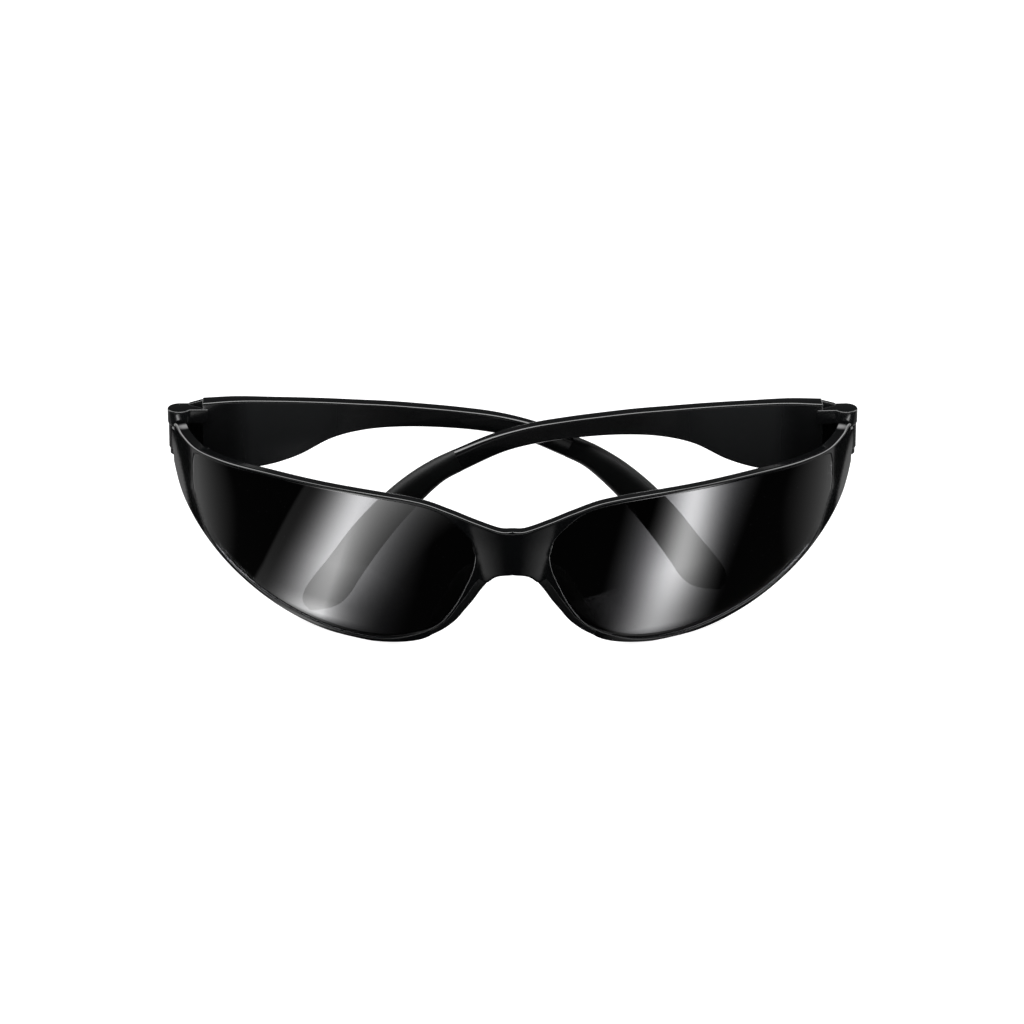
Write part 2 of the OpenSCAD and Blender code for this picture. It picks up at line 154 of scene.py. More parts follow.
def on_front(place, depth, sizes):
    """Point of the front's ball, in metres. The place's first number is a length along the
    wrap, so it divides by the radius to an angle; its second is the height, whose sine from
    the ball's centre is its share of the radius; depth shortens the radius."""
    side = place[..., 0] * MM / sizes.ball_radius
    up = np.arcsin((place[..., 1] * MM - sizes.ball_height) / sizes.ball_radius)
    r = sizes.ball_radius - depth * MM
    return np.stack([
        r * np.cos(up) * np.sin(side),
        sizes.ball_back - r * np.cos(up) * np.cos(side),
        sizes.ball_height + r * np.sin(up),
    ], -1)


def grid_faces(rows, columns, closed_rows=False, closed_columns=False):
    """Quads between neighbouring points of a grid that is numbered row by row."""
    i = np.arange(rows if closed_rows else rows - 1)[:, None]
    j = np.arange(columns if closed_columns else columns - 1)[None, :]
    i2, j2 = (i + 1) % rows, (j + 1) % columns
    quads = np.stack(np.broadcast_arrays(
        i * columns + j, i * columns + j2, i2 * columns + j2, i2 * columns + j
    ), -1)
    return quads.reshape(-1, 4)


def grid(points, closed_rows=False, closed_columns=False):
    """Mesh part of a grid of points."""
    rows, columns = points.shape[:2]
    return points.reshape(-1, 3), [grid_faces(rows, columns, closed_rows, closed_columns)]


def tube(rings):
    """Closed mesh part over rings of points. Each end is closed by a fan from its middle."""
    rows, columns = rings.shape[:2]
    points = np.vstack([rings.reshape(-1, 3), rings[0].mean(0), rings[-1].mean(0)])
    j = np.arange(columns)
    j2 = (j + 1) % columns
    last = (rows - 1) * columns
    first_fan = np.stack([j2, j, np.full(columns, rows * columns)], 1)
    last_fan = np.stack([j + last, j2 + last, np.full(columns, rows * columns + 1)], 1)
    return points, [grid_faces(rows, columns, closed_columns=True), first_fan, last_fan]


def turned(profile, centre, segments):
    """Grid of points: a profile of radius and height, in millimetres, carried round an upright
    axis at centre, in metres."""
    turn = np.linspace(0, 2 * np.pi, segments, endpoint=False)[:, None]
    r, z = profile[:, 0] * MM, profile[:, 1] * MM
    return np.stack([
        centre[0] + r * np.cos(turn), centre[1] + r * np.sin(turn), z + 0 * turn
    ], -1)


def rounded_box(width, height, r, steps=4):
    """Closed outline of a rectangle with rounded corners, from 0 to width and 0 to height."""
    turn = np.linspace(0, np.pi / 2, steps + 1)
    quarter = np.stack([np.cos(turn), np.sin(turn)], 1) * r
    crossed = np.stack([quarter[:, 1], -quarter[:, 0]], 1)
    return np.vstack([
        quarter + [width - r, height - r], -crossed + [r, height - r],
        -quarter + [r, r], crossed + [width - r, r],
    ])


def mirrored(part):
    """Mesh part's mirror image across the middle."""
    points, faces = part
    return points * [-1, 1, 1], [f[:, ::-1] for f in faces]


def make_piece(name, parts, material, body, nodes, crease=40):
    """Joins mesh parts into one object, merges their doubled points, turns the faces outwards,
    shades it smooth between creases, and sets what it rides on, repaints and replaces."""
    mesh = bpy.data.meshes.new(name)
    start, points, faces = 0, [], []
    for verts, groups in parts:
        points.append(verts)
        faces += [face for group in groups for face in (group + start).tolist()]
        start += len(verts)
    mesh.from_pydata(np.vstack(points), [], faces)
    work = bmesh.new()
    work.from_mesh(mesh)
    bmesh.ops.remove_doubles(work, verts=work.verts, dist=2e-6)
    bmesh.ops.dissolve_degenerate(work, edges=work.edges, dist=1e-7)
    bmesh.ops.recalc_face_normals(work, faces=work.faces)
    work.to_mesh(mesh)
    work.free()
    mesh.shade_smooth()
    mesh.set_sharp_from_angle(angle=math.radians(crease))
    piece = bpy.data.objects.new(name, mesh)
    bpy.context.scene.collection.objects.link(piece)
    mesh.materials.append(material)
    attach(piece, body)
    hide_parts(*nodes)
    return piece


def add_node(tree, kind, inputs=None, **settings):
    """Adds a shader node, sets its settings and its inputs' values, and links the inputs that
    are given as another node's output."""
    node = tree.nodes.new(kind)
    for key, value in settings.items():
        setattr(node, key, value)
    for key, value in (inputs or {}).items():
        if isinstance(value, bpy.types.NodeSocket):
            tree.links.new(value, node.inputs[key])
        else:
            node.inputs[key].default_value = value
    return node


def new_material(name):
    """Empty node material and its tree, with an output node."""
    material = bpy.data.materials.new(name)
    material.use_nodes = True
    tree = material.node_tree
    tree.nodes.clear()
    return material, tree, add_node(tree, "ShaderNodeOutputMaterial")


def gloss_nylon(colour):
    """Injection-moulded black nylon from a polished tool: deep black with a crisp highlight
    that a faint orange peel of the melt front breaks up, and hairline handling scratches."""
    material, tree, out = new_material("gloss_moulded_nylon")
    place = add_node(tree, "ShaderNodeTexCoord").outputs["Object"]
    # Orange peel about 1.4 mm from crest to crest
    peel = add_node(tree, "ShaderNodeTexNoise", {"Vector": place, "Scale": 700.0, "Detail": 1.0})
    # Scratches about 0.15 mm apart, drawn out to 1 mm along the wrap
    long_way = add_node(tree, "ShaderNodeMapping", {"Vector": place, "Scale": (1.0, 1.0, 8.0)})
    fine = add_node(tree, "ShaderNodeTexNoise", {
        "Vector": long_way.outputs["Vector"], "Scale": 900.0, "Detail": 3.0, "Roughness": 0.7
    })
    rough = add_node(tree, "ShaderNodeMapRange", {
        "Value": fine.outputs["Fac"], "From Min": 0.3, "From Max": 0.8,
        "To Min": 0.04, "To Max": 0.13,
    })
    bump = add_node(tree, "ShaderNodeBump", {
        "Height": peel.outputs["Fac"], "Strength": 0.06, "Distance": 0.0001
    })
    shader = add_node(tree, "ShaderNodeBsdfPrincipled", {
        "Base Color": colour, "IOR": 1.53, "Roughness": rough.outputs["Result"],
        "Normal": bump.outputs["Normal"],
    })
    tree.links.new(shader.outputs["BSDF"], out.inputs["Surface"])
    return material


def nylon_with_painted_sheen(colour, polished):
    """The same black nylon on the temples, with a painted sheen. Their upright broad faces are
    painted a faint even grey, which fades before the hinge and towards the narrow waist; their
    edges keep the frame's black."""
    material, tree, out = new_material("moulded_nylon_with_painted_sheen")
    place = add_node(tree, "ShaderNodeTexCoord").outputs["Object"]
    # The painted sheen lies 22 to 60 mm from the middle, measured across the folded pair
    across = add_node(tree, "ShaderNodeSeparateXYZ", {"Vector": place}).outputs["X"]
    across = add_node(tree, "ShaderNodeMath", {0: across}, operation="ABSOLUTE").outputs[0]
    waist = add_node(tree, "ShaderNodeMapRange", {
        "Value": across, "From Min": 0.022, "From Max": 0.045,
    }, interpolation_type="SMOOTHSTEP").outputs["Result"]
    hinge = add_node(tree, "ShaderNodeMapRange", {
        "Value": across, "From Min": 0.054, "From Max": 0.06, "To Min": 1.0, "To Max": 0.25,
    }, interpolation_type="SMOOTHSTEP").outputs["Result"]
    # Only upright faces take the painted sheen; faces that look up or down keep the black
    normal = add_node(tree, "ShaderNodeNewGeometry").outputs["Normal"]
    upright = add_node(tree, "ShaderNodeSeparateXYZ", {"Vector": normal}).outputs["Z"]
    upright = add_node(tree, "ShaderNodeMath", {0: upright}, operation="ABSOLUTE").outputs[0]
    face = add_node(tree, "ShaderNodeMapRange", {
        "Value": upright, "From Min": 0.15, "From Max": 0.5, "To Min": 1.0, "To Max": 0.0,
    }).outputs["Result"]
    painted_sheen_share = add_node(tree, "ShaderNodeMath", {0: waist, 1: hinge}, operation="MULTIPLY")
    painted_sheen_share = add_node(tree, "ShaderNodeMath", {0: painted_sheen_share.outputs[0], 1: face}, operation="MULTIPLY")
    # Painted sheen: grey where the share is full, the frame's black (the polished colour)
    # elsewhere
    painted_sheen_tone = add_node(tree, "ShaderNodeMix", {
        0: painted_sheen_share.outputs[0], 6: polished, 7: colour
    }, data_type="RGBA").outputs[2]
    # Clouds of the skin about 5 mm wide, and its grain about 0.3 mm
    cloud = add_node(tree, "ShaderNodeTexNoise", {"Vector": place, "Scale": 200.0, "Detail": 2.0})
    grain = add_node(tree, "ShaderNodeTexNoise", {"Vector": place, "Scale": 3200.0, "Detail": 1.0})
    rough = add_node(tree, "ShaderNodeMapRange", {
        "Value": cloud.outputs["Fac"], "To Min": 0.1, "To Max": 0.2
    })
    bump = add_node(tree, "ShaderNodeBump", {
        "Height": grain.outputs["Fac"], "Strength": 0.05, "Distance": 0.00004
    })
    shader = add_node(tree, "ShaderNodeBsdfPrincipled", {
        "Base Color": painted_sheen_tone, "IOR": 1.53, "Roughness": rough.outputs["Result"],
        "Normal": bump.outputs["Normal"],
    })
    tree.links.new(shader.outputs["BSDF"], out.inputs["Surface"])
    return material


def soft_elastomer(colour):
    """Moulded thermoplastic elastomer of the nose pads: dull black with a fine spark-eroded
    grain, so that light spreads over it and leaves no sharp highlight."""
    material, tree, out = new_material("matte_thermoplastic_elastomer")
    place = add_node(tree, "ShaderNodeTexCoord").outputs["Object"]
    # Eroded grain, drawn as coarse as 0.35 mm so that it shows
    grain = add_node(tree, "ShaderNodeTexVoronoi", {"Vector": place, "Scale": 2800.0})
    cloud = add_node(tree, "ShaderNodeTexNoise", {"Vector": place, "Scale": 350.0, "Detail": 3.0})
    rough = add_node(tree, "ShaderNodeMapRange", {
        "Value": cloud.outputs["Fac"], "To Min": 0.32, "To Max": 0.46
    })
    bump = add_node(tree, "ShaderNodeBump", {
        "Height": grain.outputs["Distance"], "Strength": 0.18, "Distance": 0.00005
    })
    shader = add_node(tree, "ShaderNodeBsdfPrincipled", {
        "Base Color": colour, "IOR": 1.5, "Roughness": rough.outputs["Result"],
        "Normal": bump.outputs["Normal"],
    })
    tree.links.new(shader.outputs["BSDF"], out.inputs["Surface"])
    return material


def tip_rubber(colour):
    """Overmoulded rubber of the ear tips: black with a satin skin, whose broad soft highlight
    shows slow flow marks."""
    material, tree, out = new_material("satin_overmoulded_rubber")
    place = add_node(tree, "ShaderNodeTexCoord").outputs["Object"]
    # Flow marks about 4 mm long and a fine skin of about 0.4 mm
    flow = add_node(tree, "ShaderNodeTexNoise", {"Vector": place, "Scale": 240.0, "Detail": 2.0})
    skin = add_node(tree, "ShaderNodeTexNoise", {"Vector": place, "Scale": 2500.0, "Detail": 1.0})
    rough = add_node(tree, "ShaderNodeMapRange", {
        "Value": flow.outputs["Fac"], "To Min": 0.48, "To Max": 0.6
    })
    bump = add_node(tree, "ShaderNodeBump", {
        "Height": skin.outputs["Fac"], "Strength": 0.1, "Distance": 0.00004
    })
    # A bloom of the rubber dulls what it mirrors
    shader = add_node(tree, "ShaderNodeBsdfPrincipled", {
        "Base Color": colour, "IOR": 1.52, "Specular IOR Level": 0.22,
        "Roughness": rough.outputs["Result"], "Normal": bump.outputs["Normal"],
    })
    tree.links.new(shader.outputs["BSDF"], out.inputs["Surface"])
    return material


def smoke_polycarbonate(colour):
    """Polycarbonate tinted right through to a dark smoke, with a hard polished coat: it mirrors
    the studio sharply and lets only a few hundredths of the light through."""
    material, tree, out = new_material("smoke_tinted_polycarbonate")
    place = add_node(tree, "ShaderNodeTexCoord").outputs["Object"]
    # Faint haze of the hard coat in clouds of about 6 mm
    haze = add_node(tree, "ShaderNodeTexNoise", {"Vector": place, "Scale": 160.0, "Detail": 3.0})
    rough = add_node(tree, "ShaderNodeMapRange", {
        "Value": haze.outputs["Fac"], "To Min": 0.0, "To Max": 0.05
    })
    shader = add_node(tree, "ShaderNodeBsdfPrincipled", {
        "Base Color": colour, "IOR": 1.586, "Roughness": rough.outputs["Result"],
        "Transmission Weight": 1.0,
    })
    tree.links.new(shader.outputs["BSDF"], out.inputs["Surface"])
    return material


def pin_steel(colour):
    """Stainless steel hinge pin, turned and tumbled: mid grey with fine rings round its axis."""
    material, tree, out = new_material("turned_stainless_steel")
    place = add_node(tree, "ShaderNodeTexCoord").outputs["Object"]
    # Turning rings, 0.2 mm from one to the next
    rings = add_node(tree, "ShaderNodeTexWave", {
        "Vector": place, "Scale": 1600.0, "Distortion": 0.6, "Detail": 1.0
    }, bands_direction="Z")
    rough = add_node(tree, "ShaderNodeMapRange", {
        "Value": rings.outputs["Fac"], "To Min": 0.22, "To Max": 0.38
    })
    shader = add_node(tree, "ShaderNodeBsdfPrincipled", {
        "Base Color": colour, "Metallic": 1.0, "Roughness": rough.outputs["Result"]
    })
    tree.links.new(shader.outputs["BSDF"], out.inputs["Surface"])
    return material


def bead(distance, r):
    """Depth of a rounded edge of radius r at a distance from it: a quarter circle."""
    left = np.clip(r - distance, 0, r)
    return r - np.sqrt(r * r - left * left)


def nose_setback(u):
    """How far the frame's edge stands back under a nose pad, in millimetres: the full pad's
    thickness between smooth ramps at its two ends, and less towards its lower end."""
    share = np.clip((u - 5.2) / 13, 0, 1)
    return 1.15 * (1 - 0.4 * share**2) * smooth(u - 5, 0, 0.9) * smooth(18.4 - u, 0, 1)


def front_outline():
    """Outer edge of the front's left half: along the top, down the hinge end past the rooms
    for the two ears, and back along the bottom, where it is set back under the nose pad."""
    top = curve(TOP_EDGE, 16)
    barrel_end = top[(top[:, 0] > 91.3) & (top[:, 1] < 33.5)]
    top = top[top[:, 0] < 90.1]
    low = curve(LOW_EDGE, 16)
    run = np.gradient(low, axis=0)
    inward = np.stack([-run[:, 1], run[:, 0]], 1) / np.linalg.norm(run, axis=1, keepdims=True)
    low = low + nose_setback(low[:, :1]) * inward
    low = low[low[:, 1] < 25.7]
    low_z, high_z = LOW_ROOM_Z
    end = np.array([
        [91.86, 30], [91.74, high_z], [LOW_ROOM_U, high_z], [LOW_ROOM_U, low_z], [91.27, low_z]
    ])
    corner = np.array([[HIGH_ROOM_U, 34.6], [HIGH_ROOM_U, HIGH_ROOM_Z], [91.5, HIGH_ROOM_Z]])
    return np.vstack([top, corner, barrel_end, end, low[::-1]])


def ear_room(place, depth):
    """Shift that hollows the rooms for the ears: behind the outer face an ear's cylinder round
    the pin reaches further along the wrap, by the chord at that depth, and the wing's end
    gives way to it in full at its edge and less and less over the 4 mm before it."""
    u, z = place[..., 0], place[..., 1]
    high, low = z > HIGH_ROOM_Z + 0.01, (z > LOW_ROOM_Z[0] + 0.01) & (z < LOW_ROOM_Z[1] - 0.01)
    reach = np.where(high, HIGH_REACH, LOW_REACH)
    at_face = np.where(high, HIGH_ROOM_U, LOW_ROOM_U)
    chord = np.sqrt(np.clip(reach**2 - (PIN_DEPTH - depth) ** 2, 0, None))
    give = np.clip((u - at_face + 4) / 4, 0, 1) ** 2
    back = np.where(high | low, (at_face - PIN_U + chord) * give, 0)
    return np.stack([u - np.clip(back, 0, None), z], -1)


def lens_opening():
    """Line round a lens opening, from its inner end over the top and back below."""
    return np.vstack([curve(LENS_TOP, 16), curve(LENS_LOW, 16)[::-1]])


def front_half(sizes):
    """Left half of the front. Rungs join its outer edge to the lens opening. Across a rung the
    face's depth is the larger of the two edge beads, and the back is the same from behind;
    the opening's wall has the groove for the lens in it."""
    edge = spread(front_outline(), 620)
    opening = lens_opening()
    s_edge, s_opening = arc_length(edge), arc_length(opening)
    near_edge = np.linalg.norm(edge[None] - RIM_TIES[:, None, :2], axis=-1).argmin(1)
    near_opening = np.linalg.norm(opening[None] - RIM_TIES[:, None, 2:], axis=-1).argmin(1)
    at = np.interp(s_edge, s_edge[near_edge], s_opening[near_opening])
    inner = np.stack([np.interp(at, s_opening, opening[:, k]) for k in (0, 1)], 1)
    # The middle of the bridge, where the two halves meet, closes the round
    middle = np.linspace(edge[-1], edge[0], 26)[1:-1]
    beside = np.linspace(inner[-1], np.array([7.7, 24.6]), 14)[1:]
    beside = np.vstack([beside, np.linspace(beside[-1], inner[0], 12)[1:-1]])
    beside = spread(np.vstack([inner[-1], beside, inner[0]]), 26)[1:-1]
    outer_line = np.vstack([edge, middle])
    inner_line = np.vstack([inner, beside])

    steps = np.array([0, 0.03, 0.09, 0.17, 0.26, 0.36, 0.47])
    length = np.linalg.norm(outer_line - inner_line, axis=1, keepdims=True)
    near = np.minimum(steps / length, 0.5 * steps / steps[-1])
    span = near[:, -1:] + (1 - 2 * near[:, -1:]) * np.linspace(0, 1, 12)[1:-1]
    t = np.hstack([near, span, 1 - near[:, ::-1]])[..., None]
    place = outer_line[:, None] * (1 - t) + inner_line[:, None] * t
    from_edge = edge_distance(place, edge)
    from_opening = edge_distance(place, np.vstack([opening, opening[:1]]))
    from_edge[: len(edge), 0] = 0
    from_opening[:, -1] = 0
    thick = sizes.thickness / MM
    round_out, round_in = sizes.outer_round / MM, sizes.inner_round / MM
    face = np.maximum(bead(from_edge, round_out), bead(from_opening, round_in))
    rear = thick - np.maximum(bead(from_edge, round_in), bead(from_opening, round_in))

    wall_depth = np.linspace(face[: len(edge), 0], rear[: len(edge), 0], 8).T
    wall_place = ear_room(np.repeat(edge[:, None], 8, 1), wall_depth)
    wall = on_front(wall_place, wall_depth, sizes)
    # Down the opening's wall, as places into the wall and depths: the front lip, the groove
    # for the lens and the rear lip
    groove = np.array([
        [0, round_in], [0, 0.4], [0, 0.5], [0.38, 0.5], [0.4, 0.55], [0.4, 1.95], [0.38, 2.0],
        [0, 2.0], [0, 2.08], [0, thick - round_in],
    ])
    out = outer_line - inner_line
    out = out / np.linalg.norm(out, axis=1, keepdims=True)
    seat = on_front(
        inner_line[:, None] + out[:, None] * groove[None, :, :1], groove[None, :, 1], sizes
    )
    front = on_front(ear_room(place, face), face, sizes)
    back = on_front(ear_room(place, rear), rear, sizes)
    for surface in (front, back, wall, seat):
        np.clip(surface[..., 2], 0, None, out=surface[..., 2])
    # The middle lies exactly on the plane of symmetry
    front[len(edge) - 1 :, 0, 0] = back[len(edge) - 1 :, 0, 0] = 0
    front[0, 0, 0] = back[0, 0, 0] = wall[0, :, 0] = wall[-1, :, 0] = 0
    return [
        grid(front, closed_rows=True), grid(back, closed_rows=True),
        grid(seat, closed_rows=True), grid(wall),
    ]


class FrontSizes(bpy.types.PropertyGroup):
    """Sizes of the front."""

    ball_radius: bpy.props.FloatProperty(
        name="Ball radius", description="Radius of the ball the front wraps round",
        default=78 * MM, unit="LENGTH")
    ball_height: bpy.props.FloatProperty(
        name="Ball height", description="Height of the ball's centre above the table",
        default=31 * MM, unit="LENGTH")
    ball_back: bpy.props.FloatProperty(
        name="Ball centre", description="How far the ball's centre lies behind the origin",
        default=52.124 * MM, unit="LENGTH")
    thickness: bpy.props.FloatProperty(
        name="Thickness", description="Thickness of the frame", default=2.4 * MM, unit="LENGTH")
    outer_round: bpy.props.FloatProperty(
        name="Outer edge", description="Radius of the bead along the outer edge",
        default=0.4 * MM, unit="LENGTH")
    inner_round: bpy.props.FloatProperty(
        name="Inner edge", description="Radius of the edges at the lens and at the back",
        default=0.22 * MM, unit="LENGTH")
    pin_side: bpy.props.FloatProperty(
        name="Hinge side", description="Distance of a hinge pin from the middle",
        default=70.163 * MM, unit="LENGTH")
    pin_back: bpy.props.FloatProperty(
        name="Hinge back", description="Distance of a hinge pin behind the origin",
        default=23.176 * MM, unit="LENGTH")
    colour: bpy.props.FloatVectorProperty(
        name="Frame colour", description="Colour of the moulded nylon", subtype="COLOR",
        size=4, min=0, max=1, default=linear("#0a0b0c"))


class LensSizes(bpy.types.PropertyGroup):
    """Sizes of the lenses."""

    depth: bpy.props.FloatProperty(
        name="Depth", description="Depth of a lens below the frame's front",
        default=0.55 * MM, unit="LENGTH")
    flush: bpy.props.FloatProperty(
        name="Outer depth", description="Depth of a lens below the front at its outer end",
        default=0.12 * MM, unit="LENGTH")
    thickness: bpy.props.FloatProperty(
        name="Thickness", description="Thickness of a lens", default=1.4 * MM, unit="LENGTH")
    held: bpy.props.FloatProperty(
        name="Held in rim", description="How far a lens reaches into its groove",
        default=0.35 * MM, unit="LENGTH")
    tint: bpy.props.FloatVectorProperty(
        name="Tint", description="Share of the light that passes each face", subtype="COLOR",
        size=4, min=0, max=1, default=linear("#2c2c2d"))


class PadSizes(bpy.types.PropertyGroup):
    """Sizes of the nose pads."""

    depth: bpy.props.FloatProperty(
        name="Depth", description="Depth of a pad's wing behind the front",
        default=9 * MM, unit="LENGTH")
    splay: bpy.props.FloatProperty(
        name="Splay", description="How far the wings splay apart towards the face",
        default=3.4 * MM, unit="LENGTH")
    colour: bpy.props.FloatVectorProperty(
        name="Pad colour", description="Colour of the soft pads", subtype="COLOR",
        size=4, min=0, max=1, default=linear("#0d0e0f"))


class TempleSizes(bpy.types.PropertyGroup):
    """Sizes of the temples, their ear tips and their pins."""

    length: bpy.props.FloatProperty(
        name="Length", description="Distance from the pin to the ear tip's far end",
        default=115 * MM, unit="LENGTH")
    bow: bpy.props.FloatProperty(
        name="Bow", description="How far the temple bows in at its far end",
        default=12.4 * MM, unit="LENGTH")
    root: bpy.props.FloatProperty(
        name="Root thickness", description="Thickness at the hinge",
        default=3.6 * MM, unit="LENGTH")
    waist: bpy.props.FloatProperty(
        name="Waist thickness", description="Thickness at the narrow waist",
        default=2.8 * MM, unit="LENGTH")
    edge: bpy.props.FloatProperty(
        name="Edge", description="Radius of the temple's edges", default=0.5 * MM, unit="LENGTH")
    tip: bpy.props.FloatProperty(
        name="Tip thickness", description="Widest thickness of an ear tip",
        default=4.6 * MM, unit="LENGTH")
    left_fold: bpy.props.FloatProperty(
        name="Left fold", description="Turn of the left temple, folded past straight across",
        default=math.radians(184.1), subtype="ANGLE")
    right_fold: bpy.props.FloatProperty(
        name="Right fold", description="Turn of the right temple, folded over the left one",
        default=math.radians(179.1), subtype="ANGLE")
    # This grey is the painted sheen on the temples' upright faces; the nylon itself is the frame's
    # black
    colour: bpy.props.FloatVectorProperty(
        name="Temple colour", description="Colour of the temples' nylon", subtype="COLOR",
        size=4, min=0, max=1, default=linear("#262728"))
    tip_colour: bpy.props.FloatVectorProperty(
        name="Tip colour", description="Colour of the ear tips' rubber", subtype="COLOR",
        size=4, min=0, max=1, default=linear("#0a0b0b"))
    pin_colour: bpy.props.FloatVectorProperty(
        name="Pin colour", description="Colour of the steel pins", subtype="COLOR",
        size=4, min=0, max=1, default=linear("#b9babb"))


class StageSizes(bpy.types.PropertyGroup):
    """Levels of the studio."""

    floor: bpy.props.FloatVectorProperty(
        name="Floor colour", description="Colour of the table", subtype="COLOR",
        size=4, min=0, max=1, default=linear("#fefefe"))
    # Levels of painted light on the cards: painted reflections in front, painted bands seen
    # through the lenses behind
    mirrored_painted_bands: bpy.props.FloatProperty(
        name="Mirrored windows", description="Brightness of the windows mirrored in the lenses",
        default=6.7, min=0)
    rear_painted_bands: bpy.props.FloatProperty(
        name="Rear windows", description="Brightness of the windows seen through the lenses",
        default=14.0, min=0)
    top_light: bpy.props.FloatProperty(
        name="Top light", description="Power of the soft light overhead, in watts",
        default=7.0, min=0)


class EYEWEAR_OT_front(bpy.types.Operator):
    """Make the frame's front with its rims, bridge and hinge barrels"""

    bl_idname = "eyewear.front"
    bl_label = "Front"

    def execute(self, context):
        sizes = context.scene.eyewear_front
        half = front_half(sizes)
        # The barrel's wall round the pin, from its bore at 0.8 mm out to 2.3 mm
        ring = rounded_box(1.5, 5.4, 0.15) + [0.8, LOW_ROOM_Z[1]]
        barrel = turned(ring, (sizes.pin_side, sizes.pin_back), 64)
        parts = [*half, grid(barrel, closed_rows=True, closed_columns=True)]
        parts += [mirrored(part) for part in parts]
        make_piece("front_shell", parts, gloss_nylon(sizes.colour), "front", ["frame"])
        return {"FINISHED"}


class EYEWEAR_OT_lenses(bpy.types.Operator):
    """Make the two tinted lenses"""

    bl_idname = "eyewear.lenses"
    bl_label = "Lenses"

    def execute(self, context):
        front, sizes = context.scene.eyewear_front, context.scene.eyewear_lens
        loop = spread(lens_opening(), 360, closed=True)
        window, rim = grown(loop, -0.05)[None], grown(loop, sizes.held / MM)[None]
        # Places run from the middle of the lens out to its edge in even shares
        share = np.linspace(0.02, 1, 44)[:, None, None]
        centre = np.array([44.0, 18.0])
        place = centre + share * (window - centre)
        shallow, deep = sizes.depth / MM, (sizes.depth + sizes.thickness) / MM
        # The lens stands nearly flush at its outer end, and steps down to its held rim
        raised = (sizes.depth - sizes.flush) / MM * smooth(place[..., 0], 60, 79)
        outside = np.concatenate([
            on_front(place, shallow - raised, front), on_front(window, shallow, front),
            on_front(rim, shallow, front),
        ])
        inside = np.concatenate([on_front(place, deep, front), on_front(rim, deep, front)])
        rings = np.concatenate([outside, inside[::-1]])
        np.clip(rings[..., 2], 0, None, out=rings[..., 2])
        glass = smoke_polycarbonate(sizes.tint)
        for side, part in (("left", tube(rings)), ("right", mirrored(tube(rings)))):
            make_piece(f"lens_{side}_shell", [part], glass, "front", [f"lens_{side}"])
        return {"FINISHED"}


# Nose pad's outline across its strip: past the nose edge, depth, and share of the wing's swell
PAD_SIDE = np.array([
    [-2.0, 0.02, 0], [-1.9, -0.1, 0], [-1.1, -0.12, 0], [-0.44, -0.03, 0], [-0.04, 0.35, 0],
    [0.02, 1.3, 0], [-0.05, 2.5, 0.1], [0, 2.7, 0.4], [0.2, 2.7, 0.8], [-0.12, 2.74, 0.97],
    [-0.55, 2.7, 1.0], [-0.98, 2.7, 0.96], [-1.1, 2.7, 0.77], [-1.2, 2.78, 0.4],
    [-1.1, 2.8, 0.05], [-1.12, 1.6, 0], [-1.12, 0.6, 0], [-1.5, 0.4, 0], [-2.0, 0.3, 0],
])


class EYEWEAR_OT_nose_pads(bpy.types.Operator):
    """Make the two soft nose pads"""

    bl_idname = "eyewear.nose_pads"
    bl_label = "Nose Pads"

    def execute(self, context):
        front, sizes = context.scene.eyewear_front, context.scene.eyewear_pads
        line = curve(NOSE_EDGE, 16)
        # The strip runs on a little at both ends, into the frame
        line = np.vstack([
            line[0] + 2.2 * (line[0] - line[1]), line, line[-1] + 1.0 * (line[-1] - line[-2])
        ])
        run = np.gradient(line, axis=0)
        out = np.stack([run[:, 1], -run[:, 0]], 1) / np.linalg.norm(run, axis=1, keepdims=True)
        share = np.linspace(0, 1, len(line))[:, None]
        # The wing swells as a rounded sine along the pad, and the strip narrows downwards
        swell = np.sin(np.pi * (24 * share + 1.5) / 27) ** 0.6
        narrow = 1 - 0.4 * share**2
        side = curve(np.vstack([PAD_SIDE, PAD_SIDE[:1]]), 6)[:-1]
        wing = side[None, :, 2] * swell
        past = narrow * side[None, :, 0] - wing * sizes.splay / MM
        depth = side[None, :, 1] + wing * (sizes.depth / MM - 2.4)
        # At both ends its lip sinks flush with the frame
        sunk = 1 - smooth(share, 0, 0.08) * smooth(1 - share, 0, 0.08)
        depth = depth + np.clip(0.04 - depth, 0, None) * sunk
        place = line[:, None] + past[..., None] * out[:, None]
        rings = on_front(place, depth, front)
        rubber = soft_elastomer(sizes.colour)
        for side_name, part in (("left", tube(rings)), ("right", mirrored(tube(rings)))):
            make_piece(
                f"pad_{side_name}_soft", [part], rubber, "front",
                [f"nose_pad_{side_name}"],
            )
        return {"FINISHED"}


# Temple's upper and lower edge in millimetres: from the pin along the temple, and above the table
ARM_EDGES = np.array([
    [5.2, 38.2, 5.2, 23.49], [11.96, 38.69, 11.96, 23.1], [20.01, 38.69, 18.05, 23.72],
    [30.02, 38.39, 24.95, 26.06], [37.03, 38.08, 31.97, 29.96], [44.05, 37.81, 38.98, 31.97],
    [50.95, 37.38, 47.03, 32.78], [58.99, 36.8, 56.01, 32.78], [67.05, 35.99, 64.52, 32.16],
    [74.98, 34.37, 72.45, 30.58], [83.03, 31.77, 81.08, 27.06],
])
TIP_EDGES = np.array([
    [83.03, 31.77, 81.08, 27.06], [87.97, 29.76, 85.22, 25.12], [93.5, 26.63, 89.81, 21.21],
    [99.02, 22.33, 94.99, 15.79], [104.53, 16.87, 99.59, 10.06], [109.25, 10.95, 103.16, 5.03],
    [112.58, 7.04, 105, 2.21], [114.54, 4.22, 106.95, 0.39], [115, 2.01, 109.36, -0.31],
    [113.85, 0.19, 111.55, -0.23],
])
# Shares of the waist's and of the tip's thickness at those places
ARM_THICK = np.array([0, 0.5, 1, 1, 1, 1, 1, 1, 1, 1, 1])[:, None]
TIP_THICK = np.array([0.86, 0.93, 1, 1, 1, 1, 0.95, 0.8, 0.6])[:, None]
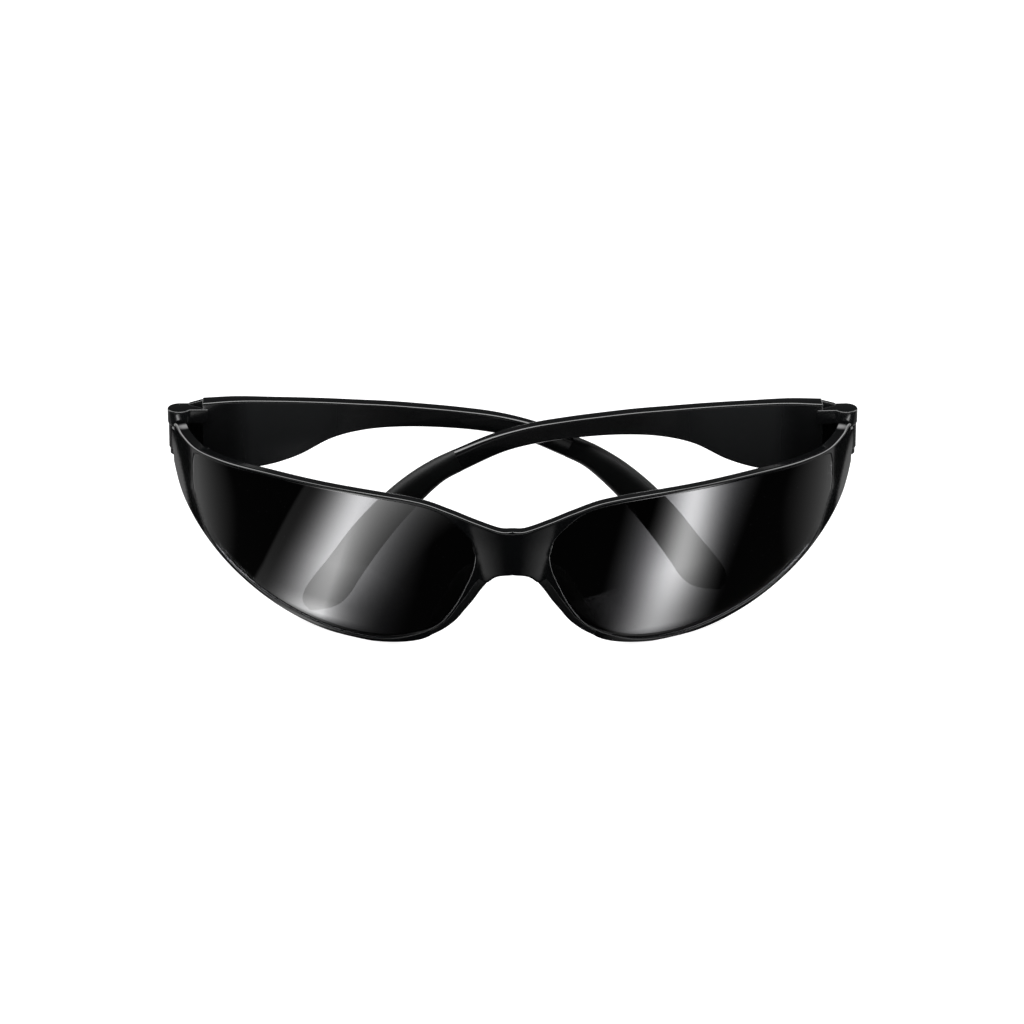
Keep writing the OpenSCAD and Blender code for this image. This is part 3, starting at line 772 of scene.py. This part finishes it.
# Growth of the arm's corner radius, until the arm is as round as the ear tip that covers it
ARM_ROUND = np.array([0, 0, 0, 0, 0, 0, 0, 0, 0.15, 0.5, 1])[:, None]


def arm_middle(s, sizes):
    """Line of the temple's middle, inwards, at a distance from the pin: it bows by the 2.3rd
    power of the share of the length past the root, and leans out a little near the hinge."""
    start = 0.174 * sizes.length / MM
    bow = sizes.bow / MM * (np.clip(s - start, 0, None) / (sizes.length / MM - start)) ** 2.3
    return bow - 0.324 - 0.684 * np.clip(1 - s / start, 0, None)


def arm_rings(edges, thickness, corner, sizes, steps=12):
    """Rings round a temple. Each joins an upper to a lower place; its outline is a rectangle
    with round corners, as high as the two are apart and as thick as given."""
    line = curve(edges, steps)
    thick = curve(thickness, steps)[:, 0]
    corner = curve(corner, steps)[:, 0]
    top, low = line[:, :2], line[:, 2:]
    high = np.linalg.norm(low - top, axis=1)
    down = (low - top) / high[:, None]
    r = np.minimum(np.minimum(corner, 0.46 * thick), 0.46 * high)[:, None]
    turn = np.linspace(0, np.pi / 2, 7)
    along = np.hstack([r - r * np.cos(turn), high[:, None] - (r - r * np.cos(turn))[:, ::-1]])
    out = thick[:, None] / 2 - r + r * np.sin(turn)
    out = np.hstack([out, out[:, ::-1]])
    place = top[:, None] + down[:, None] * along[..., None]
    middle = arm_middle(place[..., 0], sizes)
    one = np.stack([place[..., 0], middle - out, place[..., 1]], -1)
    other = np.stack([place[..., 0], middle + out, place[..., 1]], -1)
    return np.concatenate([one, other[:, ::-1]], 1)


def closed_in(rings, at_start, reach=0.3, steps=5):
    """Rings with one end drawn in by a quarter circle, so that the end face has a round edge."""
    end = rings[0] if at_start else rings[-1]
    middle = end.mean(0)
    size = np.linalg.norm(end - middle, axis=1).min()
    turn = np.linspace(0, np.pi / 2, steps + 1)[1:]
    away = (rings[0] - rings[1]).mean(0) if at_start else (rings[-1] - rings[-2]).mean(0)
    away = away / np.linalg.norm(away)
    shrink = 1 - reach * (1 - np.cos(turn)) / size
    extra = middle + (end - middle) * shrink[:, None, None]
    extra = extra + away * (reach * np.sin(turn))[:, None, None]
    return np.concatenate([extra[::-1], rings]) if at_start else np.concatenate([rings, extra])


def slab(outline, low, high, r=0.12, steps=4):
    """Flat plate with rounded edges: a closed outline in the temple's own plane, from one
    height to another, drawn in towards its middle at its two faces by a quarter circle."""
    turn = np.linspace(0, np.pi / 2, steps + 1)
    inset, lift = r * (1 - np.sin(turn)), r * (1 - np.cos(turn))
    inset = np.concatenate([inset, inset[::-1]])
    level = np.concatenate([low + lift, high - lift[::-1]])
    return np.stack([
        np.column_stack([grown(outline, -d), np.full(len(outline), z)])
        for d, z in zip(inset, level)
    ])


def ear_outline(r):
    """Outline of a hinge ear and its strap, in the temple's own plane: most of a circle round
    the pin, and two straight sides back to the root."""
    inner = math.asin(1.3 / r)
    turn = np.linspace(-np.pi / 2, -2 * np.pi + inner, 61)
    arc = r * np.stack([np.cos(turn), np.sin(turn)], 1)
    return spread(np.vstack([arc, [[6.2, 1.3], [6.2, -r]]]), 130, closed=True)


def heel_outline():
    """Outline of the thin outer heel that covers the hinge, in the temple's own plane."""
    return (rounded_box(4.35, 1.1, 0.2) + [1.95, -2.51])[::-1]


def folded(points, side, front, sizes):
    """Points of a temple's own plane, in millimetres, set at its hinge and folded across."""
    turn = sizes.left_fold if side == "left" else sizes.right_fold
    c, s = math.cos(turn), math.sin(turn)
    x, y, z = (points[..., k] * MM for k in range(3))
    world = np.stack([
        front.pin_side + c * x - s * y, front.pin_back + s * x + c * y, np.clip(z, 0, None)
    ], -1)
    return world if side == "left" else world * [-1, 1, 1]


class EYEWEAR_OT_temples(bpy.types.Operator):
    """Make the two temples with their hinge ears"""

    bl_idname = "eyewear.temples"
    bl_label = "Temples"

    def execute(self, context):
        front, sizes = context.scene.eyewear_front, context.scene.eyewear_temples
        # The temples' nylon, with a painted sheen in grey on its upright faces
        satin = nylon_with_painted_sheen(sizes.colour, front.colour)
        root, waist = sizes.root / MM, sizes.waist / MM
        thick = root + (waist - root) * ARM_THICK
        corner = sizes.edge / MM * (1 - ARM_ROUND) + 0.46 * waist * ARM_ROUND
        arm = closed_in(arm_rings(ARM_EDGES, thick, corner, sizes), True)
        low_ear = slab(ear_outline(2.05), 26.7, 28.0)
        top_ear = slab(ear_outline(2.5), 33.7, 36.9, 0.3)
        heel = slab(heel_outline(), 24.05, 37.75, 0.2)
        # The heel's top slopes down from the temple's edge to the ear
        slope = 0.45 * smooth(heel[..., 0], 3.4, 5.2) - 0.75 * smooth(-heel[..., 0], -3.4, -1.9)
        heel[..., 2] += np.where(heel[..., 2] > 31, slope, 0)
        solids = [arm, low_ear, top_ear, heel]
        for side in ("left", "right"):
            parts = [tube(folded(rings, side, front, sizes)) for rings in solids]
            make_piece(
                f"temple_{side}_arm", parts, satin, f"temple_{side}",
                [f"temple_{side}"],
            )
        return {"FINISHED"}


class EYEWEAR_OT_ear_tips(bpy.types.Operator):
    """Make the two ear tips"""

    bl_idname = "eyewear.ear_tips"
    bl_label = "Ear Tips"

    def execute(self, context):
        front, sizes = context.scene.eyewear_front, context.scene.eyewear_temples
        thick = np.vstack([[[1.03 * sizes.waist / MM]], TIP_THICK * sizes.tip / MM])
        rings = arm_rings(TIP_EDGES, thick, thick, sizes)
        rings = closed_in(closed_in(rings, True, 0.15), False, 0.3)
        rubber = tip_rubber(sizes.tip_colour)
        for side in ("left", "right"):
            make_piece(
                f"ear_tip_{side}_cover", [tube(folded(rings, side, front, sizes))], rubber,
                f"temple_{side}", [f"ear_tip_{side}"], crease=60,
            )
        return {"FINISHED"}


class EYEWEAR_OT_pins(bpy.types.Operator):
    """Make the two hinge pins"""

    bl_idname = "eyewear.pins"
    bl_label = "Hinge Pins"

    def execute(self, context):
        front, sizes = context.scene.eyewear_front, context.scene.eyewear_temples
        # A low domed head, the shank, and a chamfered end
        head_r, pin_r = 1.25, 0.75
        turn = np.linspace(0, np.pi / 2, 7)[-2::-1]
        dome = np.stack([head_r * np.cos(turn), 26.35 - 0.25 * np.sin(turn)], 1)
        shank = [[head_r, 26.68], [pin_r, 26.7], [pin_r, 36.05], [pin_r - 0.15, 36.2]]
        profile = np.vstack([dome, shank])
        steel = pin_steel(sizes.pin_colour)
        for side, sign in (("left", 1), ("right", -1)):
            centre = (sign * front.pin_side, front.pin_back)
            rings = turned(profile, centre, 48).swapaxes(0, 1)
            make_piece(
                f"pin_{side}_steel", [tube(rings)], steel, f"temple_{side}",
                [f"hinge_pin_{side}"],
            )
        return {"FINISHED"}


def flat_sheet(name, points, material, glow=None):
    """Sheet of the studio from a grid of points."""
    mesh = bpy.data.meshes.new(name)
    verts, faces = grid(points)
    mesh.from_pydata(verts, [], faces[0].tolist())
    if glow is not None:
        level = mesh.attributes.new("glow", "FLOAT", "POINT")
        level.data.foreach_set("value", glow.ravel())
    mesh.materials.append(material)
    sheet = bpy.data.objects.new(name, mesh)
    bpy.context.scene.collection.objects.link(sheet)
    return sheet


# Painted light bands in the cards: the place in millimetres that each fans out from, the
# compass angle of its middle, and how it falls before and after that angle
LEFT_FRONT = ((10.5, 58.0), 231.3, (5.9, 2.0))
RIGHT_FRONT = ((-20.0, 15.0), -30.0, (4.9, 1.8), (5.4, 1.9))
LEFT_REAR = ((20.1, 355.7), -99.7, (1.12, 2.0), (0.9, 1.2))
RIGHT_REAR = ((-37.2, -416.1), 80.9, (0.78, 1.9), (0.72, 1.8))


def beam(points, apex, peak, before, after):
    """Share of a painted band's brightness at places on the table: full at the compass angle peak,
    seen from the apex. On either side it falls by the exponential of minus a power of the
    angle, and before and after each give the angle at which it is a third, and the power. A
    hundredth is taken off, so that the tails end."""
    angle = np.degrees(np.arctan2(points[..., 1] - apex[1], points[..., 0] - apex[0]))
    angle = (angle - peak + 180) % 360 - 180
    (width, power), (width_after, power_after) = before, after
    rise = (np.clip(-angle, 0, None) / width) ** power
    fall = (np.clip(angle, 0, None) / width_after) ** power_after
    return np.clip(np.exp(-rise - fall) - 0.012, 0, None)


class EYEWEAR_OT_stage(bpy.types.Operator):
    """Make the table, the studio's cards and lights, and the camera"""

    bl_idname = "eyewear.stage"
    bl_label = "Studio"

    def execute(self, context):
        levels = context.scene.eyewear_stage
        self.make_floor(levels)
        self.make_cards(levels)
        self.make_world()
        self.make_lights(levels)
        self.make_camera()
        return {"FINISHED"}

    def make_floor(self, levels):
        """White laminate table, which looks white to the camera and keeps a faint shadow."""
        material, tree, out = new_material("white_laminate_table")
        path = add_node(tree, "ShaderNodeLightPath")
        seen = add_node(tree, "ShaderNodeMath", {
            0: path.outputs["Is Camera Ray"], 1: path.outputs["Is Glossy Ray"]
        }, operation="MAXIMUM")
        seen = add_node(tree, "ShaderNodeMath", {
            0: seen.outputs[0], 1: path.outputs["Is Transmission Ray"]
        }, operation="MAXIMUM")
        level = add_node(tree, "ShaderNodeMath", {
            0: seen.outputs[0], 1: 0.9
        }, operation="MULTIPLY")
        glow = add_node(tree, "ShaderNodeEmission", {
            "Color": levels.floor, "Strength": level.outputs[0]
        })
        paint = add_node(tree, "ShaderNodeBsdfDiffuse", {"Color": linear("#bcbcbc")})
        both = add_node(tree, "ShaderNodeAddShader", {
            0: glow.outputs["Emission"], 1: paint.outputs["BSDF"]
        })
        tree.links.new(both.outputs["Shader"], out.inputs["Surface"])
        x, y = np.meshgrid(np.linspace(-3, 3, 3), np.linspace(-3, 3, 3))
        flat_sheet("table", np.stack([x, y, 0 * x - 0.00002], -1)[:, ::-1], material)

    def make_cards(self, levels):
        """Two dark cards on the table, which hold back its white and carry painted light. The one
        in
        front is seen only in reflections: two bright painted reflections fan out in it from near
        the middle of the ball, a dim painted glow rises towards each side, and two dim painted
        glints show in the bridge. The one behind is seen only through the lenses, and its two
        painted bands lie in line with the first, so that an ear tip that stands before them takes
        its share out of the bright bands."""
        turn = np.radians(np.linspace(-103, 103, 687))[:, None]
        away = np.geomspace(30, 460, 140)[None, :]
        front = np.stack([away * np.sin(turn), 52.12 - away * np.cos(turn), 0 * turn * away], -1)
        # The left painted band falls off more slowly further out, and has a faint straight painted
        # border
        fall = 3.6 + 0.045 * (away - 98)
        painted_bands = beam(front, *LEFT_FRONT, (fall, 1.1)) + beam(front, *RIGHT_FRONT)
        near = np.clip((away - 58) / 36, 0, 1) + 0.45 * smooth(-away, -79, -74) * (turn < 0)
        # Neither the lower rim nor the upper one mirrors the painted bands
        near = near * smooth(away, 72.4, 73.2) * smooth(-away, -193, -187)
        from_apex = front[..., :2] - LEFT_FRONT[0]
        bearing = np.degrees(np.arctan2(from_apex[..., 1], from_apex[..., 0])) % 360
        border = 0.16 * smooth(bearing, 216.2, 217.2) * smooth(-bearing, -232, -224)
        # Towards each side a painted glow rises, ends where the lens ends, and a painted bright
        # line follows
        side = np.abs(np.degrees(turn)) - 0.23 * (away - 95)
        end = 82.4 - 0.45 * np.clip(100 - away, 0, None)
        begin, reach = np.where(turn < 0, 62, 60), np.where(turn < 0, 17, 21)
        rise = np.clip((side - begin) / reach, 0, 1)
        glow = 0.47 * rise**1.2 * smooth(-side, -end, 1.6 - end)
        line = smooth(side - 0.27 * (away - 96), 84, 85.2) * smooth(-away, -130, -112)
        glow = (glow + 0.45 * line) * smooth(away, 75, 77.5)
        # In the bridge a dim painted glint brightens outwards as far as the lens
        x, y = np.abs(front[..., 0]), front[..., 1]
        out = x / (10.8 + 0.31 * (-52 - y))
        patch = np.clip((out - 0.2) / 0.8, 0, 1) ** 1.5 * smooth(-out, -1.06, -0.99)
        patch = 0.85 * patch * smooth(-y, 42, 50) * (1 - 0.4 * smooth(-y, 62, 84))
        patch = patch * smooth(y, -110, -90)
        # The card in front is painted reflection: it glows, lights nothing, and shows only in
        # reflections
        level = levels.mirrored_painted_bands * near * painted_bands
        level += border * smooth(away, 72.4, 73.2) + glow + patch + 0.01
        self.make_card("mirrored_card", front, level, "transmission")
        # The card behind carries painted light: bright bands seen only through the lenses,
        # lighting nothing
        across = np.concatenate([[-460, -31], np.linspace(-30, 180, 148)])
        x, y = np.meshgrid(np.linspace(-160, 160, 641), across)
        rear = np.stack([x, y, 0 * x], -1)
        painted_bands = beam(rear, *LEFT_REAR) + beam(rear, *RIGHT_REAR)
        near = (0.45 + 0.55 * smooth(y, -6, 26)) * (y > -30.5)
        level = levels.rear_painted_bands * near * painted_bands + 0.015
        self.make_card("rear_card", rear, level, "glossy")

    def make_card(self, name, points, level, hidden_way):
        """Card that glows as bright as a level says at each point, which one kind of ray and
        the camera, shadows and soft light don't see."""
        material, tree, out = new_material(name + "_with_painted_bands")
        glow = add_node(tree, "ShaderNodeAttribute", attribute_name="glow")
        light = add_node(tree, "ShaderNodeEmission", {"Strength": glow.outputs["Fac"]})
        tree.links.new(light.outputs["Emission"], out.inputs["Surface"])
        points = points * MM
        points[..., 2] = 0.00003
        card = flat_sheet(name, points, material, level)
        for way in ("camera", "diffuse", "volume_scatter", "shadow", hidden_way):
            setattr(card, "visible_" + way, False)

    def make_world(self):
        """White room for the camera, reflections and what is seen through the lenses. In
        reflections the ceiling is dark, and an arch of soft light runs over the table from
        side to side, bent back at both feet. Everything else gets an even light."""
        world = bpy.data.worlds.new("studio")
        bpy.context.scene.world = world
        world.use_nodes = True
        tree = world.node_tree
        tree.nodes.clear()
        path = add_node(tree, "ShaderNodeLightPath")
        seen = add_node(tree, "ShaderNodeMath", {
            0: path.outputs["Is Camera Ray"], 1: path.outputs["Is Transmission Ray"]
        }, operation="MAXIMUM")
        way = add_node(tree, "ShaderNodeTexCoord").outputs["Generated"]
        x, y, z = add_node(tree, "ShaderNodeSeparateXYZ", {"Vector": way}).outputs
        ceiling = add_node(tree, "ShaderNodeMapRange", {
            "Value": z, "From Min": 0.03, "From Max": 0.2, "To Min": 1.0, "To Max": 0.06,
        })
        aside = add_node(tree, "ShaderNodeMath", {0: x}, operation="ABSOLUTE")
        across = add_node(tree, "ShaderNodeMath", {
            0: aside.outputs[0], 1: -0.45, 2: y
        }, operation="MULTIPLY_ADD")
        across = add_node(tree, "ShaderNodeMath", {0: across.outputs[0]}, operation="ABSOLUTE")
        arch = add_node(tree, "ShaderNodeMapRange", {
            "Value": across.outputs[0], "From Min": 0.12, "From Max": 0.42,
            "To Min": 7.0, "To Max": 0.0,
        }, interpolation_type="SMOOTHSTEP")
        feet = add_node(tree, "ShaderNodeMapRange", {
            "Value": z, "From Min": 0.1, "From Max": 0.35,
        }, interpolation_type="SMOOTHSTEP")
        overhead = add_node(tree, "ShaderNodeMath", {
            0: arch.outputs["Result"], 1: feet.outputs["Result"], 2: ceiling.outputs["Result"]
        }, operation="MULTIPLY_ADD")
        mirrored_room = add_node(tree, "ShaderNodeMath", {
            0: path.outputs["Is Glossy Ray"], 1: overhead.outputs[0]
        }, operation="MULTIPLY")
        other = add_node(tree, "ShaderNodeMath", {
            0: 1.0, 1: path.outputs["Is Glossy Ray"]
        }, operation="SUBTRACT")
        even = add_node(tree, "ShaderNodeMath", {
            0: other.outputs[0], 1: 0.75
        }, operation="MULTIPLY")
        level = add_node(tree, "ShaderNodeMath", {
            0: mirrored_room.outputs[0], 1: even.outputs[0]
        }, operation="ADD")
        level = add_node(tree, "ShaderNodeMath", {
            0: seen.outputs[0], 1: level.outputs[0]
        }, operation="MAXIMUM")
        back = add_node(tree, "ShaderNodeBackground", {"Strength": level.outputs[0]})
        out = add_node(tree, "ShaderNodeOutputWorld")
        tree.links.new(back.outputs["Background"], out.inputs["Surface"])

    def make_lights(self, levels):
        """Long soft light straight overhead, which draws the line along the rims."""
        light = bpy.data.lights.new("overhead_softbox", "AREA")
        light.shape = "RECTANGLE"
        light.size, light.size_y = 1.1, 0.35
        light.energy = levels.top_light
        lamp = bpy.data.objects.new("overhead_softbox", light)
        lamp.location = (0, -0.12, 0.9)
        bpy.context.scene.collection.objects.link(lamp)

    def make_camera(self):
        """Long lens at the photograph's angle, 25 degrees above the table."""
        data = bpy.data.cameras.new("camera")
        data.sensor_width = 36
        data.lens = 253.125
        data.shift_x, data.shift_y = -0.0005, 0.0078
        camera = bpy.data.objects.new("camera", data)
        camera.location = (0, -1.36036, 0.65593)
        camera.rotation_euler = (math.radians(65), 0, 0)
        bpy.context.scene.collection.objects.link(camera)
        bpy.context.scene.camera = camera
        bpy.context.scene.view_settings.view_transform = "Standard"


PIECES = ("front", "lenses", "nose_pads", "temples", "ear_tips", "pins", "stage")


class EYEWEAR_PT_panel(bpy.types.Panel):
    """Buttons that make the glasses piece by piece, with their sizes and colours"""

    bl_idname = "EYEWEAR_PT_panel"
    bl_label = "Tinted Safety Glasses"
    bl_space_type = "VIEW_3D"
    bl_region_type = "UI"
    bl_category = "Eyewear"

    def draw(self, context):
        for piece in PIECES:
            self.layout.operator("eyewear." + piece)
        for group in GROUPS:
            box = self.layout.box()
            box.label(text=group.__doc__)
            values = getattr(context.scene, GROUPS[group])
            for prop in group.__annotations__:
                box.prop(values, prop)


GROUPS = {
    FrontSizes: "eyewear_front",
    LensSizes: "eyewear_lens",
    PadSizes: "eyewear_pads",
    TempleSizes: "eyewear_temples",
    StageSizes: "eyewear_stage",
}
CLASSES = (
    *GROUPS, EYEWEAR_OT_front, EYEWEAR_OT_lenses, EYEWEAR_OT_nose_pads, EYEWEAR_OT_temples,
    EYEWEAR_OT_ear_tips, EYEWEAR_OT_pins, EYEWEAR_OT_stage, EYEWEAR_PT_panel,
)


def register():
    for cls in CLASSES:
        bpy.utils.register_class(cls)
    for group, name in GROUPS.items():
        setattr(bpy.types.Scene, name, bpy.props.PointerProperty(type=group))


def unregister():
    for name in GROUPS.values():
        delattr(bpy.types.Scene, name)
    for cls in reversed(CLASSES):
        bpy.utils.unregister_class(cls)


def main():
    register()
    for piece in PIECES:
        getattr(bpy.ops.eyewear, piece)()


if __name__ == "__main__":
    main()
